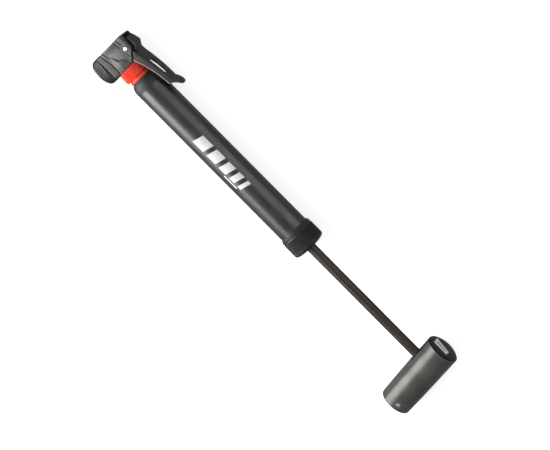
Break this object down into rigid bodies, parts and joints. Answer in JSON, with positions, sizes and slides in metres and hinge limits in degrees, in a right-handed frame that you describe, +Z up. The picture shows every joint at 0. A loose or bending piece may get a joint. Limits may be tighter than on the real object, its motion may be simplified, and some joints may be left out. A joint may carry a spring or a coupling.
{
  "type": "bicycle mini hand pump",
  "caption": "Small bicycle hand pump with a lever-lock valve head, red collar, alloy barrel and an offset T handle on a sliding rod.",
  "frame": {"origin": "centre of the valve mouth, on the valve axis", "axes": "+X along the barrel from the handle to the head, +Y out of the valve mouth, +Z up as it lies on its side"},
  "size_m": [0.3206, 0.0579, 0.025],
  "materials": {
    "black_plastic": "fine spark texture, satin",
    "black_rubber": "matt",
    "red_plastic": "semi gloss",
    "black_alloy": "matt black anodised",
    "dark_rod": "black coated, drawn lines",
    "grey_alloy": "satin dark grey anodised",
    "bright_steel": "bright",
    "silver_badge": "satin",
    "brass": "turned",
    "white_plastic": "natural"
  },
  "bodies": {
    "barrel": {"head_body": "black_plastic", "lever_pin": "bright_steel", "outlet_spigot": "brass", "spigot_o_rings": "black_rubber", "barrel_top_cap": "black_plastic", "top_cap_o_ring": "black_rubber", "check_valve_seat": "brass", "barrel_tube": "black_alloy", "barrel_end_cap": "black_plastic", "rod_guide_bush": "white_plastic", "rod_wiper": "black_rubber"},
    "lever": {"lever": "black_plastic"},
    "pusher": {"pusher": "white_plastic", "pusher_o_ring": "black_rubber", "valve_depressor": "brass"},
    "grommet": {"valve_grommet": "black_rubber"},
    "valve_cap": {"valve_cap": "black_plastic"},
    "collar": {"lock_collar": "red_plastic"},
    "check_ball": {"check_valve_ball": "black_rubber"},
    "seal": {"piston_seal": "black_rubber"},
    "plunger": {"piston": "white_plastic", "piston_washer": "bright_steel", "piston_screw": "bright_steel", "rod_bumper": "black_rubber", "piston_rod": "dark_rod", "handle_shell": "grey_alloy", "handle_core": "black_plastic", "rod_cross_pin": "bright_steel", "handle_pin": "bright_steel", "handle_base_plug": "black_plastic", "handle_end_cap": "black_plastic", "cap_badge": "silver_badge"}
  },
  "joints": [
    {"name": "lever_hinge", "type": "hinge", "parent": "barrel", "child": "lever", "pos_m": [0, -0.02885, 0], "axis": [0, 0, 1], "range_deg": [0, 90]},
    {"name": "pusher_slide", "type": "slide", "parent": "barrel", "child": "pusher", "axis": [0, 1, 0], "range_m": [0, 0.00201]},
    {"name": "valve_cap_advance", "type": "slide", "parent": "barrel", "child": "grommet", "axis": [0, 1, 0], "range_m": [0, 0.003]},
    {"name": "valve_cap_turn", "type": "hinge", "parent": "grommet", "child": "valve_cap", "pos_m": [0, 0, 0], "axis": [0, 1, 0], "range_deg": [0, 721]},
    {"name": "collar_turn", "type": "hinge", "parent": "barrel", "child": "collar", "pos_m": [-0.0155, -0.0189, 0], "axis": [1, 0, 0], "range_deg": [0, 90]},
    {"name": "check_ball_lift", "type": "slide", "parent": "barrel", "child": "check_ball", "axis": [1, 0, 0], "range_m": [0, 0.0012]},
    {"name": "plunger_stroke", "type": "slide", "parent": "barrel", "child": "seal", "axis": [-1, 0, 0], "range_m": [-0.0985, 0.0225]},
    {"name": "plunger_spin", "type": "hinge", "parent": "seal", "child": "plunger", "pos_m": [-0.2, -0.0189, 0], "axis": [-1, 0, 0], "continuous": true}
  ],
  "couplings": [
    {"joint": "pusher_slide", "follows": "lever_hinge", "m_per_rad": 0.0012732},
    {"joint": "valve_cap_turn", "follows": "valve_cap_advance", "rad_per_m": 4188.8}
  ]
}
